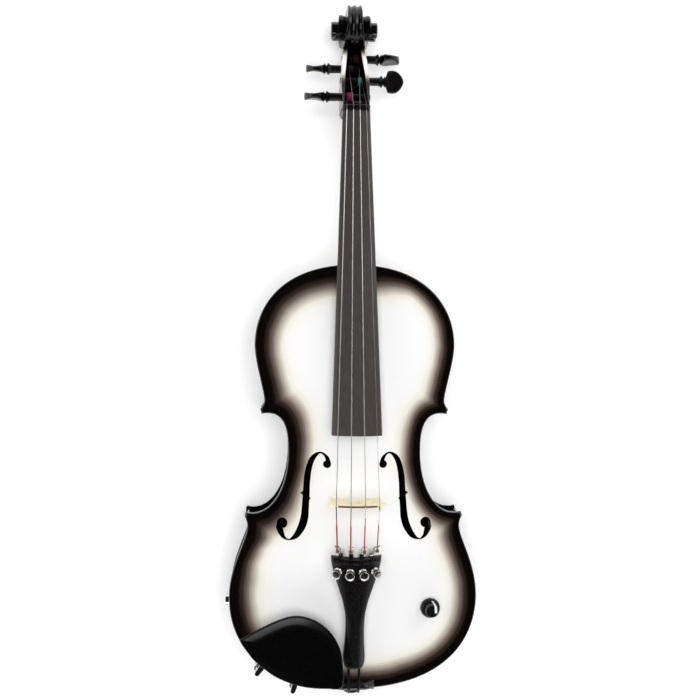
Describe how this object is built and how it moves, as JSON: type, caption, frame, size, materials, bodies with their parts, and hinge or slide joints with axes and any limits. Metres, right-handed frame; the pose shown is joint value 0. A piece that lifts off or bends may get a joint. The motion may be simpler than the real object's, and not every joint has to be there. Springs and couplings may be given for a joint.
{
  "type": "electric violin",
  "caption": "Full-size electric violin with an arched white body burst to black at the edges, carved scroll, black fittings, volume control and side output jack.",
  "frame": {"origin": "middle of the flat where the arch of the back rests on the table", "axes": "+Z out of the belly and up, +Y from the tail to the scroll, +X to the treble side"},
  "size_m": [0.212, 0.5949, 0.0956],
  "materials": {
    "white_lacquer": "gloss lacquer, white in the middle and burst to black at the edge",
    "black_lacquer": "gloss black lacquer",
    "inner_spruce": "bare spruce",
    "ebony": "satin dyed black",
    "string_steel": "fine wound steel",
    "maple": "bare satin maple",
    "loop_nylon": "black nylon cord",
    "nickel": "bright nickel plate",
    "black_plastic": "satin black",
    "cork": "sheet cork",
    "pot_steel": "plain plated steel",
    "pickup_brass": "thin brass disc",
    "lead_sleeve": "black insulated lead"
  },
  "bodies": {
    "violin": {"belly": "white_lacquer", "back_plate": "white_lacquer", "lower_rib_treble": "black_lacquer", "lower_rib_bass": "black_lacquer", "waist_rib_treble": "black_lacquer", "waist_rib_bass": "black_lacquer", "upper_rib_treble": "black_lacquer", "upper_rib_bass": "black_lacquer", "neck_and_scroll": "black_lacquer", "lower_corner_block_treble": "inner_spruce", "lower_corner_block_bass": "inner_spruce", "upper_corner_block_treble": "inner_spruce", "upper_corner_block_bass": "inner_spruce", "lower_block": "inner_spruce", "upper_block": "inner_spruce", "bass_bar": "inner_spruce", "sound_post": "inner_spruce", "fingerboard": "ebony", "nut": "ebony", "saddle": "ebony", "tailpiece": "ebony", "end_button": "ebony", "string_low": "string_steel", "string_third": "string_steel", "string_second": "string_steel", "string_high": "string_steel", "bridge": "maple", "tail_loop": "loop_nylon", "tuner_bracket_low": "nickel", "tuner_bracket_third": "nickel", "tuner_bracket_second": "nickel", "tuner_bracket_high": "nickel", "clamp_bracket": "nickel", "output_jack": "nickel", "jack_nut": "nickel", "chin_rest_cup": "black_plastic", "chin_rest_cork": "cork", "volume_pot": "pot_steel", "volume_nut": "pot_steel", "pickup_disc": "pickup_brass", "pickup_lead": "lead_sleeve", "jack_lead": "lead_sleeve"},
    "peg_low": {"peg_low": "ebony"},
    "lever_low": {"tuner_lever_low": "nickel"},
    "screw_low": {"tuner_screw_low": "nickel"},
    "peg_third": {"peg_third": "ebony"},
    "lever_third": {"tuner_lever_third": "nickel"},
    "screw_third": {"tuner_screw_third": "nickel"},
    "peg_second": {"peg_second": "ebony"},
    "lever_second": {"tuner_lever_second": "nickel"},
    "screw_second": {"tuner_screw_second": "nickel"},
    "peg_high": {"peg_high": "ebony"},
    "lever_high": {"tuner_lever_high": "nickel"},
    "screw_high": {"tuner_screw_high": "nickel"},
    "knob": {"volume_knob": "black_plastic", "volume_shaft": "pot_steel"},
    "clamp_foot_body": {"clamp_foot": "nickel", "clamp_cork": "cork"},
    "barrel_1": {"clamp_barrel_1": "nickel"},
    "barrel_2": {"clamp_barrel_2": "nickel"}
  },
  "joints": [
    {"name": "peg_low_turn", "type": "hinge", "parent": "violin", "child": "peg_low", "pos_m": [0, 0.38163, 0.03773], "axis": [1, 0, 0], "continuous": true, "deforming": ["string_low"]},
    {"name": "screw_low_feed", "type": "slide", "parent": "violin", "child": "screw_low", "axis": [0.3467, 0.2451, -0.9054], "range_m": [0, 0.00085]},
    {"name": "lever_low_rock", "type": "hinge", "parent": "violin", "child": "lever_low", "pos_m": [-0.01144, -0.00521, 0.07088], "axis": [0.938, -0.0906, 0.3346], "range_deg": [0, 5.85], "deforming": ["string_low"]},
    {"name": "peg_third_turn", "type": "hinge", "parent": "violin", "child": "peg_third", "pos_m": [0, 0.41027, 0.02327], "axis": [1, 0, 0], "continuous": true, "deforming": ["string_third"]},
    {"name": "screw_third_feed", "type": "slide", "parent": "violin", "child": "screw_third", "axis": [0.1177, 0.2595, -0.9586], "range_m": [0, 0.00085]},
    {"name": "lever_third_rock", "type": "hinge", "parent": "violin", "child": "lever_third", "pos_m": [-0.00388, -0.00568, 0.07264], "axis": [0.993, -0.0308, 0.1136], "range_deg": [0, 5.85], "deforming": ["string_third"]},
    {"name": "peg_second_turn", "type": "hinge", "parent": "violin", "child": "peg_second", "pos_m": [0, 0.42091, 0.01809], "axis": [1, 0, 0], "continuous": true, "deforming": ["string_second"]},
    {"name": "screw_second_feed", "type": "slide", "parent": "violin", "child": "screw_second", "axis": [-0.1177, 0.2595, -0.9586], "range_m": [0, 0.00085]},
    {"name": "lever_second_rock", "type": "hinge", "parent": "violin", "child": "lever_second", "pos_m": [0.00388, -0.00568, 0.07264], "axis": [0.993, 0.0308, -0.1136], "range_deg": [0, 5.85], "deforming": ["string_second"]},
    {"name": "peg_high_turn", "type": "hinge", "parent": "violin", "child": "peg_high", "pos_m": [0, 0.39799, 0.02998], "axis": [1, 0, 0], "continuous": true, "deforming": ["string_high"]},
    {"name": "screw_high_feed", "type": "slide", "parent": "violin", "child": "screw_high", "axis": [-0.3467, 0.2451, -0.9054], "range_m": [0, 0.00085]},
    {"name": "lever_high_rock", "type": "hinge", "parent": "violin", "child": "lever_high", "pos_m": [0.01144, -0.00521, 0.07088], "axis": [0.938, 0.0906, -0.3346], "range_deg": [0, 5.85], "deforming": ["string_high"]},
    {"name": "volume_turn", "type": "hinge", "parent": "violin", "child": "knob", "pos_m": [0.064, -0.0517, 0.05728], "axis": [0, -0.0348, 0.9994], "range_deg": [-150, 150]},
    {"name": "barrel_1_turn", "type": "hinge", "parent": "violin", "child": "barrel_1", "pos_m": [-0.08005, -0.10396, 0.02595], "axis": [0, -0.0348, 0.9994], "range_deg": [0, 1110]},
    {"name": "barrel_2_turn", "type": "hinge", "parent": "violin", "child": "barrel_2", "pos_m": [-0.05032, -0.11892, 0.02543], "axis": [0, -0.0348, 0.9994], "range_deg": [0, 1110]},
    {"name": "clamp_open", "type": "slide", "parent": "violin", "child": "clamp_foot_body", "axis": [0, 0.0348, -0.9994], "range_m": [0, 0.003]}
  ],
  "couplings": [
    {"joint": "lever_low_rock", "follows": "screw_low_feed", "rad_per_m": 117.65},
    {"joint": "lever_third_rock", "follows": "screw_third_feed", "rad_per_m": 117.65},
    {"joint": "lever_second_rock", "follows": "screw_second_feed", "rad_per_m": 117.65},
    {"joint": "lever_high_rock", "follows": "screw_high_feed", "rad_per_m": 117.65},
    {"joint": "barrel_1_turn", "follows": "clamp_open", "rad_per_m": 6283.2},
    {"joint": "barrel_2_turn", "follows": "clamp_open", "rad_per_m": 6283.2}
  ]
}
